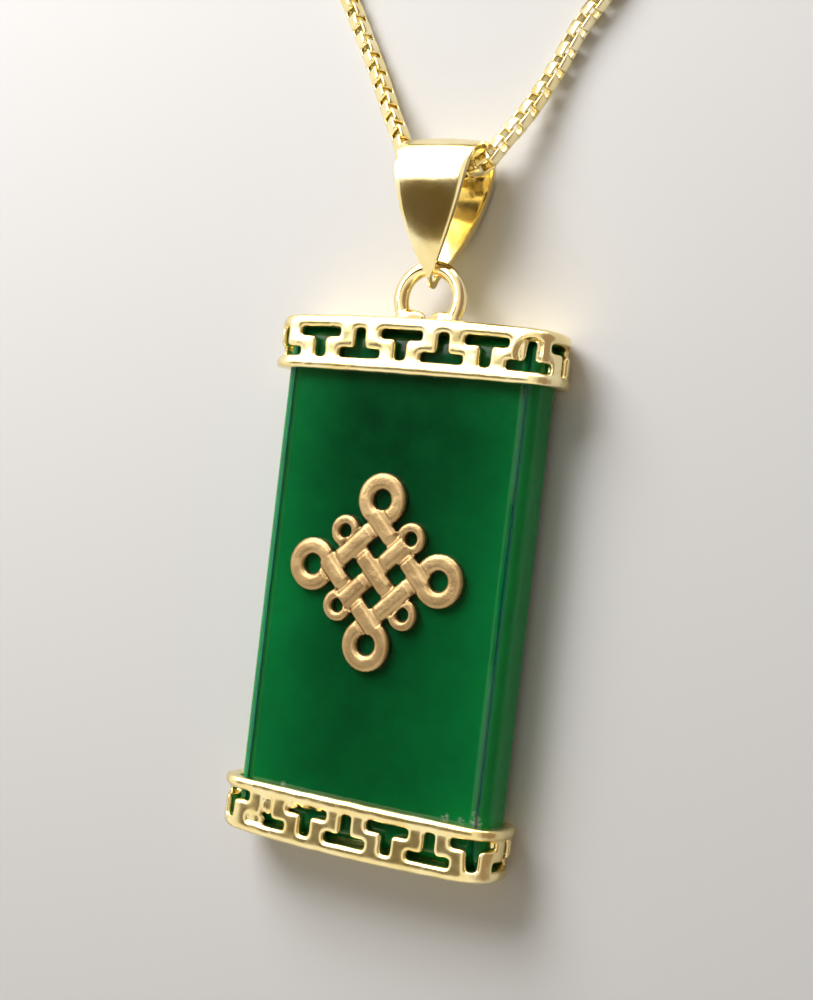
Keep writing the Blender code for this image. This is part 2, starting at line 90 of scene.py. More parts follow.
# The routes in millimetres, above the middle of the stone: out of the bail to each side, down to the table
# and on to the coil
LEFT_ROUTE = [
    (0.08, 25.64, 2.38), (-1.22, 25.64, 2.34), (-2.35, 26.15, 2.20), (-3.47, 27.9, 1.90),
    (-4.26, 29.02, 1.55), (-5.27, 30.67, 1.10), (-6.26, 32.33, 0.78), (-7.18, 33.89, 0.62),
    (-8.04, 35.43, 0.57), (-9.3, 37.7, 0.57), (-10.0, 40.1, 0.57), (-10.0, 42.8, 0.57),
    (-9.5, 44.9, 0.57), (-9.35, 45.6, 0.57)]
RIGHT_ROUTE = [
    (0.48, 25.64, 2.38), (1.78, 25.64, 2.34), (2.8, 26.1, 2.20), (3.64, 27.33, 1.97),
    (4.45, 28.65, 1.60), (5.18, 30.03, 1.20), (5.78, 31.38, 0.90), (6.37, 32.64, 0.70),
    (6.9, 33.87, 0.60), (7.57, 35.11, 0.57), (8.48, 36.4, 0.57), (9.3, 37.9, 0.57),
    (9.9, 40.0, 0.57), (10.0, 42.4, 0.75), (9.55, 44.7, 1.15), (9.35, 45.6, 1.32)]


def linear(hex_colour):
    """An sRGB hex colour as linear RGBA."""
    channels = [int(hex_colour[i:i + 2], 16) / 255 for i in (1, 3, 5)]
    return (*(c / 12.92 if c <= 0.04045 else ((c + 0.055) / 1.055) ** 2.4 for c in channels), 1.0)


def add_node(tree, kind, sockets, **settings):
    """Add a shader node with its settings. A socket takes a value or another node's output."""
    node = tree.nodes.new("ShaderNode" + kind)
    for name, value in settings.items():
        setattr(node, name, value)
    for name, value in sockets.items():
        if isinstance(value, bpy.types.NodeSocket):
            tree.links.new(value, node.inputs[name])
        else:
            node.inputs[name].default_value = value
    return node


def empty_material(name):
    made = bpy.data.materials.new(name)
    made.use_nodes = True
    made.node_tree.nodes.clear()
    return made, made.node_tree


def per_mm(size):
    """The scale of a pattern whose features are this many millimetres wide."""
    return 1 / (size * MM)


# Patches of slightly deeper colour in gold plate, in millimetres across
PLATE_PATCH_SIZE = 2.2


def gold_plate(name, pale, deep, roughness, dent, dent_depth, grain, grain_depth):
    """Polished or satin gold plate. Broad dents bend its reflections, and fine grain blurs them."""
    made, tree = empty_material(name)
    place = add_node(tree, "TexCoord", {}).outputs["Object"]
    patch, wave, pores = [
        add_node(tree, "TexNoise", {"Vector": place, "Scale": per_mm(size), "Detail": detail}).outputs["Fac"]
        for size, detail in ((PLATE_PATCH_SIZE, 3.0), (dent, 1.0), (grain, 4.0))]
    colour = add_node(tree, "ValToRGB", {"Fac": patch})
    colour.color_ramp.elements[0].position = 0.35
    colour.color_ramp.elements[0].color = linear(deep)
    colour.color_ramp.elements[1].position = 0.65
    colour.color_ramp.elements[1].color = linear(pale)
    worn = add_node(tree, "MapRange", {"Value": pores, "From Min": 0.3, "From Max": 0.7,
                                       "To Min": roughness * 0.85, "To Max": roughness * 1.15})
    broad = add_node(tree, "Bump", {"Height": wave, "Distance": dent_depth * MM, "Strength": 1.0})
    fine = add_node(tree, "Bump", {"Height": pores, "Distance": grain_depth * MM, "Strength": 1.0,
                                   "Normal": broad.outputs["Normal"]})
    shader = add_node(tree, "BsdfPrincipled", {
        "Base Color": colour.outputs["Color"], "Metallic": 1.0, "Roughness": worn.outputs["Result"],
        "Normal": fine.outputs["Normal"]})
    add_node(tree, "OutputMaterial", {"Surface": shader.outputs["BSDF"]})
    return made


def add_piece(name, mesh, finish, slot, *nodes):
    """Show a finished mesh in place of the solids that stand for it."""
    mesh.materials.clear()
    mesh.materials.append(finish)
    mesh.shade_smooth()
    piece = bpy.data.objects.new(name, mesh)
    bpy.context.scene.collection.objects.link(piece)
    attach(piece, "root")
    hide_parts(*nodes)
    return piece


def mesh_of(bm, name):
    mesh = bpy.data.meshes.new(name)
    bm.to_mesh(mesh)
    bm.free()
    return mesh


def smooth_line(points, spacing):
    """Evenly spaced points along a smooth curve through the given ones."""
    guide = [2 * points[0] - points[1], *points, 2 * points[-1] - points[-2]]
    dense = []
    for p0, p1, p2, p3 in zip(guide, guide[1:], guide[2:], guide[3:]):
        for step in range(12):
            t = step / 12
            dense.append(0.5 * (2 * p1 + (p2 - p0) * t + (2 * p0 - 5 * p1 + 4 * p2 - p3) * t * t
                                + (3 * p1 - p0 - 3 * p2 + p3) * t ** 3))
    dense.append(points[-1])
    line = [dense[0]]
    left = spacing
    for first, second in zip(dense, dense[1:]):
        run = (second - first).length
        at = left
        while at <= run:
            line.append(first.lerp(second, at / run))
            at += spacing
        left = at - run
    return line


def coil_points(start, sweep, height):
    """Points along a flat coil that winds inwards from its entry."""
    points = []
    count = round(abs(sweep) / COIL_STEP)
    for step in range(count + 1):
        turned = sweep * step / count
        radius = COIL_ENTRY_RADIUS - COIL_TURN_STEP * abs(turned) / (2 * math.pi)
        angle = start + turned
        points.append(COIL_CENTRE + Vector((radius * math.cos(angle), radius * math.sin(angle), height)))
    return points


def link_shape(corner_segments, rounded):
    """One link: a square tube of strip, lying with its length along X and its open sides along Z."""
    bm = bmesh.new()
    bmesh.ops.create_cube(bm, size=1.0)
    bmesh.ops.scale(bm, vec=(LINK_LENGTH, LINK_WIDTH, LINK_STRIP), verts=bm.verts)
    corners = [edge for edge in bm.edges if abs(edge.verts[0].co.z - edge.verts[1].co.z) > LINK_STRIP / 2]
    bmesh.ops.bevel(bm, geom=corners, offset=LINK_CORNER, offset_type="OFFSET", segments=corner_segments,
                    profile=0.5, affect="EDGES", material=-1)
    bm.normal_update()
    open_sides = [face for face in bm.faces if abs(face.normal.z) > 0.5]
    bmesh.ops.inset_individual(bm, faces=open_sides, thickness=LINK_WALL, use_even_offset=True)
    rims = list({edge for face in open_sides for edge in face.edges})
    bmesh.ops.delete(bm, geom=open_sides, context="FACES_ONLY")
    bmesh.ops.bridge_loops(bm, edges=rims)
    bm.normal_update()
    if rounded:
        sharp = [edge for edge in bm.edges if edge.calc_face_angle(0.0) > math.radians(60)]
        bmesh.ops.bevel(bm, geom=sharp, offset=LINK_EDGE_ROUND, offset_type="OFFSET", segments=2, profile=0.5,
                        affect="EDGES", material=-1)
    bmesh.ops.recalc_face_normals(bm, faces=bm.faces)
    return mesh_of(bm, "link")


fine_link = link_shape(3, True)
coil_link = link_shape(1, False)


def make_chain(name, line):
    """Hook links along a line. Near the bail they stand on a corner, and in the coil they lie flat."""
    bm = bmesh.new()
    along = 0.0
    placed = 0
    for first, second in zip(line, line[1:]):
        run = (second - first).length
        while (placed + 0.5) * LINK_PITCH <= along + run:
            middle = first.lerp(second, ((placed + 0.5) * LINK_PITCH - along) / run)
            lie = min(1.0, max(0.0, (along - TURNED_LENGTH) / (FLAT_FROM_LENGTH - TURNED_LENGTH)))
            roll = CHAIN_TURN_AT_BAIL * (1 - lie * lie * (3 - 2 * lie))
            half_height = LINK_WIDTH / 2 * (abs(math.cos(roll)) + abs(math.sin(roll)))
            middle.z = max(middle.z, half_height)
            forward = (second - first).normalized()
            side = Vector((0, 0, 1)).cross(forward).normalized()
            upright = forward.cross(side)
            turn = Matrix((forward, side, upright)).transposed().to_4x4()
            quarter = Matrix.Rotation(roll + math.pi / 2 * (placed % 2), 4, "X")
            known = len(bm.verts)
            bm.from_mesh(fine_link if placed < FINE_LINKS else coil_link)
            bm.verts.ensure_lookup_table()
            link_place = Matrix.Translation(middle) @ turn @ quarter
            bmesh.ops.transform(bm, matrix=link_place, verts=bm.verts[known:])
            placed += 1
        along += run
    return mesh_of(bm, name)


# Gold-plated brass strip, tumbled to a soft shine: bright faces with slightly dulled edges.
chain_gold = gold_plate("tumbled_gold_plate", "#FBEFC4", "#F2DF9E", 0.16, 0.9, 0.012, 0.15, 0.002)

chain_lines = {}
for side, route, start, sweep, height in (
        ("left", LEFT_ROUTE, math.radians(190), math.radians(-1713), COIL_LAYERS_Z[0]),
        ("right", RIGHT_ROUTE, math.radians(-10), math.radians(1630), COIL_LAYERS_Z[1])):
    placed_route = [Vector(point) * MM + STONE_MIDDLE for point in route]
    chain_lines[side] = smooth_line(placed_route + coil_points(start, sweep, height), 0.5 * MM)

left_chain = add_piece("box_chain_left", make_chain("box_chain_left", chain_lines["left"]), chain_gold,
                       "chain_gold", "chain_left_strand", "chain_coil")
right_chain = add_piece("box_chain_right", make_chain("box_chain_right", chain_lines["right"]), chain_gold,
                        "chain_gold", "chain_right_strand")


# Clasp and end ring
# A spring ring with its thumb knob and eye, hooked to the left end by a small open ring, and the plain ring
# of the right end. Both are round brass wire, gold plated.
CLASP_WIRE = 0.85 * MM
EYE_WIRE = 0.4 * MM
EYE_DIAMETER = 1.6 * MM
KNOB_ANGLE = math.radians(35)
KNOB_LENGTH = 0.75 * MM
KNOB_WIDTH = 0.5 * MM
JUMP_RING_DIAMETER = 1.75 * MM
JUMP_RING_WIRE = 0.3 * MM
JUMP_RING_LEAN = math.radians(62)


def add_wire_ring(bm, diameter, wire, matrix, steps=64, sides=16):
    """A ring of round wire around the given place, in its X and Y plane."""
    ring = bmesh.new()
    bmesh.ops.create_circle(ring, cap_ends=False, segments=sides, radius=wire / 2)
    bmesh.ops.rotate(ring, verts=ring.verts, cent=(0, 0, 0), matrix=Matrix.Rotation(math.pi / 2, 3, "X"))
    bmesh.ops.translate(ring, verts=ring.verts, vec=((diameter - wire) / 2, 0, 0))
    bmesh.ops.spin(ring, geom=ring.verts[:] + ring.edges[:], cent=(0, 0, 0), axis=(0, 0, 1),
                   angle=2 * math.pi, steps=steps, use_merge=True)
    bmesh.ops.transform(ring, matrix=matrix, verts=ring.verts)
    bmesh.ops.recalc_face_normals(ring, faces=ring.faces)
    whole = mesh_of(ring, "wire_ring")
    bm.from_mesh(whole)
    bpy.data.meshes.remove(whole)


clasp_low, clasp_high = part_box("chain_clasp")
clasp_diameter = clasp_high.x - clasp_low.x
clasp_centre = Vector(((clasp_low.x + clasp_high.x) / 2, clasp_high.y - clasp_diameter / 2, CLASP_WIRE / 2))
clasp = bmesh.new()
add_wire_ring(clasp, clasp_diameter, CLASP_WIRE, Matrix.Translation(clasp_centre))
eye_centre = Vector((clasp_centre.x, clasp_low.y + EYE_DIAMETER / 2, CLASP_WIRE / 2))
add_wire_ring(clasp, EYE_DIAMETER, EYE_WIRE, Matrix.Translation(eye_centre), 40, 12)
knob_place = (Matrix.Translation(clasp_centre) @ Matrix.Rotation(KNOB_ANGLE, 4, "Z")
              @ Matrix.Translation((clasp_diameter / 2, 0, 0)) @ Matrix.Rotation(math.pi / 2, 4, "Y"))
bmesh.ops.create_cone(clasp, cap_ends=True, segments=20, radius1=KNOB_WIDTH / 3, radius2=KNOB_WIDTH / 2,
                      depth=KNOB_LENGTH, matrix=knob_place)
left_end = chain_lines["left"][-1]
hook_centre = (left_end + eye_centre) / 2
hook_centre.z = JUMP_RING_DIAMETER / 2 * math.sin(JUMP_RING_LEAN) + JUMP_RING_WIRE / 4
hook_place = Matrix.Translation(hook_centre) @ Matrix.Rotation(JUMP_RING_LEAN, 4, "Y")
add_wire_ring(clasp, JUMP_RING_DIAMETER, JUMP_RING_WIRE, hook_place, 40, 10)
clasp_piece = add_piece("spring_ring_clasp", mesh_of(clasp, "spring_ring_clasp"), chain_gold, "chain_gold",
                        "chain_clasp")

ring_low, ring_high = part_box("chain_end_ring")
end_ring = bmesh.new()
add_wire_ring(end_ring, ring_high.x - ring_low.x, ring_high.z - ring_low.z,
              Matrix.Translation((ring_low + ring_high) / 2), 48, 14)
end_ring_piece = add_piece("chain_end_loop", mesh_of(end_ring, "chain_end_loop"), chain_gold, "chain_gold",
                           "chain_end_ring")


# Stone plate
# One piece of deep green jade, sawn flat behind, gently crowned in front and polished all over, with soft
# edges. Its ends sit in the caps. It lets light in, and the light that brightens it along its edges is
# painted into its colour as a paler green there than in its middle; its colour is also paler towards its
# lower end.
STONE_CROWN = 0.25 * MM
STONE_EDGE_ROUND = 0.8 * MM
STONE_HIDDEN_LENGTH = 0.3 * MM
STONE_END_CUT = 1.3 * MM
CROWN_CUTS = 27
CLOUD_SIZE = 5.0
MOTTLE_SIZE = 1.1
GLUE_CRUMB_SIZE = 0.22

# Specks of dried glue that squeezed out beside the lower cap: place and size in millimetres
GLUE_SPECKS = [
    (7.7, -18.0, 0.16), (7.85, -18.5, 0.34), (5.9, -18.55, 0.26), (6.9, -18.6, 0.22), (-5.2, -18.6, 0.2)]
GLUE_LEVEL = stone_high.z - 0.2 * MM


def crown_height(x, half_width):
    return STONE_CROWN * (1 - (x / half_width) ** 2)


stone = bmesh.new()
bmesh.ops.create_cube(stone, size=1.0)
stone_size = stone_high - stone_low
stone_size.y += STONE_HIDDEN_LENGTH
stone_size.z -= STONE_CROWN
bmesh.ops.scale(stone, vec=stone_size, verts=stone.verts)
stone_place = STONE_MIDDLE + Vector((0, -STONE_HIDDEN_LENGTH / 2, stone_low.z + stone_size.z / 2))
bmesh.ops.translate(stone, vec=stone_place, verts=stone.verts)
across = [edge for edge in stone.edges if abs(edge.verts[0].co.x - edge.verts[1].co.x) > stone_size.x / 2]
bmesh.ops.subdivide_edges(stone, edges=across, cuts=CROWN_CUTS, use_grid_fill=True)
front_level = stone_low.z + stone_size.z - STONE_CROWN / 4
for vert in stone.verts:
    if vert.co.z > front_level:
        vert.co.z += crown_height(vert.co.x, stone_size.x / 2)
stone.normal_update()
edges = [edge for edge in stone.edges if edge.calc_face_angle(0.0) > math.radians(60)]
bmesh.ops.bevel(stone, geom=edges, offset=STONE_EDGE_ROUND, offset_type="OFFSET", segments=9, profile=0.5,
                affect="EDGES", material=-1)
# A cut across each hidden end keeps the rounding there from bending the shine of the long faces
for end, level in ((-1, stone_low.y + STONE_END_CUT), (1, stone_high.y - STONE_END_CUT)):
    bmesh.ops.bisect_plane(stone, geom=stone.verts[:] + stone.edges[:] + stone.faces[:],
                           plane_co=(0, level, 0), plane_no=(0, end, 0))
bmesh.ops.recalc_face_normals(stone, faces=stone.faces)

# Jade has an IOR of about 1.62. Light spreads below its polished surface, so its green is deep and even, and
# its gloss is kept low, because the photo shows hardly any reflection on it.
jade, tree = empty_material("polished_jade")
place = add_node(tree, "TexCoord", {}).outputs["Object"]
cloud = add_node(tree, "TexNoise", {"Vector": place, "Scale": per_mm(CLOUD_SIZE), "Detail": 2.5,
                                    "Roughness": 0.45}).outputs["Fac"]
mottle = add_node(tree, "TexNoise", {"Vector": place, "Scale": per_mm(MOTTLE_SIZE), "Detail": 4.0,
                                     "Roughness": 0.55}).outputs["Fac"]
mixed = add_node(tree, "Mix", {"Factor": 0.3, 2: cloud, 3: mottle}, data_type="FLOAT").outputs[0]
place_parts = add_node(tree, "SeparateXYZ", {"Vector": place}).outputs
# Painted light: the green is made paler towards the long edges, where light passing through the stone
# brightens it, and it is also made paler towards the lower end
breadth = add_node(tree, "Math", {0: place_parts["X"], 1: 2 / stone_size.x}, operation="MULTIPLY").outputs[0]
painted_edge_glow = add_node(tree, "Math", {0: breadth, 1: breadth}, operation="MULTIPLY").outputs[0]
near_foot = add_node(tree, "MapRange", {"Value": place_parts["Y"], "From Min": stone_high.y,
                                        "From Max": stone_low.y, "To Max": 0.4}).outputs["Result"]
# clear sums the painted edge glow and the paling towards the lower end
clear = add_node(tree, "Math", {0: painted_edge_glow, 1: near_foot}, operation="ADD").outputs[0]
depth = add_node(tree, "Mix", {"Factor": 0.52, 2: mixed, 3: clear}, data_type="FLOAT").outputs[0]
greens = add_node(tree, "ValToRGB", {"Fac": depth})
greens.color_ramp.elements[0].position = 0.22
greens.color_ramp.elements[0].color = linear("#00391A")
greens.color_ramp.elements[1].position = 1.0
greens.color_ramp.elements[1].color = linear("#089045")

# The glue lies in whitish crumbs around the middle of each speck
glue = 0.0
for x, y, size in GLUE_SPECKS:
    speck = Vector((x * MM, y * MM, GLUE_LEVEL))
    away = add_node(tree, "VectorMath", {0: place, 1: speck}, operation="DISTANCE").outputs["Value"]
    near = add_node(tree, "MapRange", {"Value": away, "From Min": 1.3 * size * MM,
                                       "From Max": 0.4 * size * MM})
    glue = add_node(tree, "Math", {0: glue, 1: near.outputs["Result"]}, operation="MAXIMUM").outputs[0]
crumbs = add_node(tree, "TexNoise", {"Vector": place, "Scale": per_mm(GLUE_CRUMB_SIZE),
                                     "Detail": 3.0}).outputs["Fac"]
crumbs = add_node(tree, "MapRange", {"Value": crumbs, "From Min": 0.42, "From Max": 0.58}).outputs["Result"]
glue = add_node(tree, "Math", {0: glue, 1: crumbs}, operation="MULTIPLY").outputs[0]
skin_colour = add_node(tree, "Mix", {"Factor": glue, 6: greens.outputs["Color"], 7: linear("#A9BBA6")},
                       data_type="RGBA").outputs[2]
polish = add_node(tree, "MapRange", {"Value": mottle, "From Min": 0.3, "From Max": 0.7,
                                     "To Min": 0.07, "To Max": 0.12})
ripple = add_node(tree, "Bump", {"Height": cloud, "Distance": 0.03 * MM, "Strength": 1.0})
shader = add_node(tree, "BsdfPrincipled", {
    "Base Color": skin_colour, "Roughness": polish.outputs["Result"], "IOR": 1.62,
    "Specular IOR Level": 0.14, "Subsurface Weight": 0.85, "Subsurface Radius": (0.12, 1.0, 0.4),
    "Subsurface Scale": 3.6 * MM, "Normal": ripple.outputs["Normal"]})
add_node(tree, "OutputMaterial", {"Surface": shader.outputs["BSDF"]})
add_piece("jade_plate_polished", mesh_of(stone, "jade_plate_polished"), jade, "jade", "jade_plate")


# End caps
# Two cast caps of gold-plated brass, pierced with a fret. The casting is a little uneven: its edges are soft,
# two openings of the lower cap are half filled with flash, and the last one of the upper cap has a sunk arch.
CAP_VOXEL = 0.09 * MM
CAP_SOFTENING = 18
CAST_WAVE = 0.9
CAST_WAVE_DEPTH = 0.03 * MM
CAST_SWELL = 0.07 * MM
ARCH_PLACE = Vector((8.02, 9.11)) * MM
ARCH_RADIUS = 1.0 * MM
ARCH_DEPTH = 0.32 * MM
ARCH_STEEPNESS = 7
ARCH_LOWEST = 0.12 * MM
FLASH_MIDDLE = 0.14 * MM
FLASH_HALF_DEPTH = 0.22

# How far each cap sits off its true place: across and along in millimetres, and its turn in degrees
CAP_SLIPS = {"top_cap": (0.0, -0.13, 0.4), "bottom_cap": (-0.15, -0.25, -0.5)}

# Flash in the lower cap's first two openings: middle, half sizes and a seed for its shape, in millimetres
FLASH_LUMPS = [
    (-5.78, -19.78, 0.40, 0.62, 1), (-6.55, -20.72, 0.62, 0.34, 4), (-7.5, -20.2, 0.5, 0.45, 8),
    (-4.15, -19.42, 0.50, 0.30, 12), (-3.1, -19.30, 0.62, 0.24, 15), (-2.2, -19.32, 0.55, 0.2, 17)]


def merged_copy(node):
    """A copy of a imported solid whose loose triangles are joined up."""
    bm = bmesh.new()
    bm.from_mesh(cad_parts[node].data)
    bmesh.ops.remove_doubles(bm, verts=bm.verts, dist=0.0001 * MM)
    return bm


def cast_skin(bm, name, voxel, softening):
    """One closed surface over all the bodies of a mesh, its edges softened as a casting's are."""
    rough = bpy.data.objects.new(name, mesh_of(bm, name))
    bpy.context.scene.collection.objects.link(rough)
    skin = rough.modifiers.new("skin", "REMESH")
    skin.mode = "VOXEL"
    skin.voxel_size = voxel
    soften = rough.modifiers.new("soften", "SMOOTH")
    soften.factor = 0.5
    soften.iterations = softening
    graph = bpy.context.evaluated_depsgraph_get()
    mesh = bpy.data.meshes.new_from_object(rough.evaluated_get(graph))
    bpy.data.objects.remove(rough)
    finished = bmesh.new()
    finished.from_mesh(mesh)
    bpy.data.meshes.remove(mesh)
    finished.normal_update()
    return finished


def add_lump(bm, place, size, seed):
    """An uneven lump of metal, as flash or solder leaves."""
    lump = bmesh.new()
    bmesh.ops.create_icosphere(lump, subdivisions=3, radius=1.0)
    for vert in lump.verts:
        vert.co *= 1 + 0.18 * noise.noise(vert.co * 1.7 + Vector((seed, 0, 0)))
    bmesh.ops.scale(lump, vec=size, verts=lump.verts)
    bmesh.ops.translate(lump, vec=place, verts=lump.verts)
    whole = mesh_of(lump, "lump")
    bm.from_mesh(whole)
    bpy.data.meshes.remove(whole)


# Gold plate on cast brass keeps the casting's dull skin, so its reflections are soft and its edges cream.
cast_gold = gold_plate("cast_gold_plate", "#F8E9B6", "#EFDA98", 0.24, 1.3, 0.012, 0.4, 0.0004)
fret_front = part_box("jade_plate")[1].z

for name, node in (("cast_top_cap", "top_cap"), ("cast_bottom_cap", "bottom_cap")):
    cap = merged_copy(node)
    if node == "bottom_cap":
        for x, y, size_x, size_y, seed in FLASH_LUMPS:
            lump_place = Vector((x * MM, y * MM, fret_front + FLASH_MIDDLE))
            add_lump(cap, lump_place, Vector((size_x, size_y, FLASH_HALF_DEPTH)) * MM, seed)
    skin = cast_skin(cap, name, CAP_VOXEL, CAP_SOFTENING)
    for vert in skin.verts:
        wave = noise.noise(vert.co / (CAST_WAVE * MM)) * CAST_WAVE_DEPTH
        vert.co += vert.normal * (wave + CAST_SWELL)
        vert.co.z = max(vert.co.z, 0.0)
    if node == "top_cap":
        for vert in skin.verts:
            if vert.co.z > fret_front + ARCH_LOWEST:
                reach = (vert.co.xy - ARCH_PLACE).length / ARCH_RADIUS
                if reach < 1:
                    vert.co.z -= ARCH_DEPTH * min(1.0, ARCH_STEEPNESS * (1 - reach))
    slip_x, slip_y, slip_turn = CAP_SLIPS[node]
    cap_middle = sum(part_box(node), Vector()) / 2
    bmesh.ops.rotate(skin, verts=skin.verts, cent=cap_middle,
                     matrix=Matrix.Rotation(math.radians(slip_turn), 3, "Z"))
    bmesh.ops.translate(skin, verts=skin.verts, vec=Vector((slip_x, slip_y, 0)) * MM)
    add_piece(name, mesh_of(skin, name), cast_gold, "polished_gold", node)


# Hanging loop
# A ring of round gold-plated wire soldered on the top cap, with a little solder drawn up round its two feet.
LOOP_DIAMETER = 4.9 * MM
LOOP_WIRE = 0.96 * MM
LOOP_VOXEL = 0.06 * MM
LOOP_SOFTENING = 10
FOOT_SPREAD = 1.22 * MM
FOOT_DROP = 0.05 * MM
FOOT_SIZE = Vector((1.1, 0.62, 0.62)) * MM
FOOT_SEED = 20

loop_low, loop_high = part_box("hanging_loop")
loop_centre = Vector(((loop_low.x + loop_high.x) / 2, loop_high.y - LOOP_DIAMETER / 2,
                      (loop_low.z + loop_high.z) / 2))
loop = bmesh.new()
add_wire_ring(loop, LOOP_DIAMETER, LOOP_WIRE, Matrix.Translation(loop_centre), 96, 24)
foot_cut = loop_low.y - 0.12 * MM
bmesh.ops.bisect_plane(loop, geom=loop.verts[:] + loop.edges[:] + loop.faces[:], plane_co=(0, foot_cut, 0),
                       plane_no=(0, -1, 0), clear_outer=True)
bmesh.ops.holes_fill(loop, edges=[edge for edge in loop.edges if edge.is_boundary])
for side in (-1, 1):
    foot = Vector((loop_centre.x + side * FOOT_SPREAD, loop_low.y - FOOT_DROP, loop_centre.z))
    add_lump(loop, foot, FOOT_SIZE, FOOT_SEED + side)

# Polished gold plate on drawn wire and rolled sheet: clear, bright reflections with faint dents.
polished_gold = gold_plate("polished_gold_plate", "#FBEEC0", "#F3DE9E", 0.1, 1.8, 0.012, 0.25, 0.0015)
loop_skin = cast_skin(loop, "wire_hanging_loop", LOOP_VOXEL, LOOP_SOFTENING)
add_piece("wire_hanging_loop", mesh_of(loop_skin, "wire_hanging_loop"), polished_gold, "polished_gold",
          "hanging_loop")


# Bail
# A leaf of gold-plated sheet folded over, domed across its width, its two points joined through the loop. It
# is the brightest polished piece.
BAIL_WIDTH = 5.1 * MM
BAIL_TIP_WIDTH = 0.14 * MM
BAIL_TAPER = 2.1
BAIL_SHEET = 0.42 * MM
BAIL_DOME = 0.14 * MM
BAIL_TIP_RADIUS = 0.45 * MM
BAIL_EDGE_ROUND = 0.09 * MM
BAIL_PETAL_LENGTH = 6.2 * MM

bail_low, bail_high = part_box("bail")
bail_middle = (bail_low + bail_high) / 2
fold_radius = (bail_high.z - bail_low.z) / 2 - BAIL_SHEET / 2 - BAIL_DOME
fold_y = bail_high.y - fold_radius - BAIL_SHEET / 2 - BAIL_DOME
tip_y = fold_y - BAIL_PETAL_LENGTH
fold_length = fold_radius * math.pi / 2
tip_length = BAIL_TIP_RADIUS * math.pi / 2
half_length = fold_length + BAIL_PETAL_LENGTH + tip_length


def bail_line(along):
    """Middle of the sheet seen from the side: y, height above the bail's middle and length from the fold."""
    if along < fold_length:
        angle = along / fold_radius
        return fold_y + fold_radius * math.cos(angle), fold_radius * math.sin(angle), along
    along -= fold_length
    if along < BAIL_PETAL_LENGTH:
        share = along / BAIL_PETAL_LENGTH
        drop = BAIL_TIP_RADIUS + (fold_radius - BAIL_TIP_RADIUS) * (1 - share ** 2)
        return fold_y - along, drop, fold_length + along
    angle = (along - BAIL_PETAL_LENGTH) / BAIL_TIP_RADIUS
    return (tip_y - BAIL_TIP_RADIUS * math.sin(angle), BAIL_TIP_RADIUS * math.cos(angle),
            fold_length + BAIL_PETAL_LENGTH)


bail = bmesh.new()
bmesh.ops.create_grid(bail, x_segments=14, y_segments=128, size=1.0)
for vert in bail.verts:
    across, along = vert.co.x, vert.co.y
    y, z, travelled = bail_line(abs(along) * half_length)
    share = travelled / (fold_length + BAIL_PETAL_LENGTH)
    half = (BAIL_TIP_WIDTH + (BAIL_WIDTH - BAIL_TIP_WIDTH) * (1 - share ** BAIL_TAPER)) / 2
    swell = 1 + BAIL_DOME * half / (BAIL_WIDTH / 2) * (1 - across ** 2) / fold_radius
    vert.co = Vector((bail_middle.x + across * half, y + (swell - 1) * max(0.0, y - fold_y),
                      bail_middle.z + math.copysign(z * swell, along)))
bmesh.ops.remove_doubles(bail, verts=bail.verts, dist=0.01 * MM)
bmesh.ops.recalc_face_normals(bail, faces=bail.faces)
bail_piece = add_piece("folded_bail", mesh_of(bail, "folded_bail"), polished_gold, "polished_gold", "bail")
wall = bail_piece.modifiers.new("sheet", "SOLIDIFY")
wall.thickness = BAIL_SHEET
wall.offset = 0.0
rounding = bail_piece.modifiers.new("edges", "BEVEL")
rounding.width = BAIL_EDGE_ROUND
rounding.segments = 3
rounding.limit_method = "ANGLE"
rounding.angle_limit = math.radians(60)


# Front ornament
# A woven knot cut and stamped from sheet, glued on the stone and bent to its crown. Stamping rounds its edges
# and leaves a fine grain and small scratches on its satin face.
ORNAMENT_BAND = 1.15 * MM
ORNAMENT_WINDOW = 1.0 * MM
ORNAMENT_LOOP_RADIUS = 1.65 * MM
ORNAMENT_LOOP_HOLE = 0.62 * MM
ORNAMENT_EAR_RADIUS = 1.0 * MM
ORNAMENT_EAR_HOLE = 0.4 * MM
ORNAMENT_SQUASH = 0.98
ORNAMENT_VOXEL = 0.065 * MM
ORNAMENT_SOFTENING = 3
ORNAMENT_FULL_RELIEF = 0.45 * MM
BAND_CROWN = 0.17 * MM
WEAVE_DIP = 0.2 * MM

ornament_low, ornament_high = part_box("front_ornament")
ornament_middle = (ornament_low + ornament_high) / 2
lattice = 3 * ORNAMENT_BAND + 2 * ORNAMENT_WINDOW
band_step = ORNAMENT_BAND + ORNAMENT_WINDOW
loop_reach = lattice / math.sqrt(2) + ORNAMENT_LOOP_RADIUS / 3
ear_reach = lattice / 2 + ORNAMENT_EAR_RADIUS / 2


def band_drop(distance, half):
    """How far a band's face lies below its middle, at a distance from its middle line."""
    share = min(1.0, abs(distance) / half)
    return BAND_CROWN * share ** 4


def ring_drop(offset, outer, hole):
    if offset.length > outer + 0.1 * MM:
        return None
    return band_drop(offset.length - (outer + hole) / 2, (outer - hole) / 2)


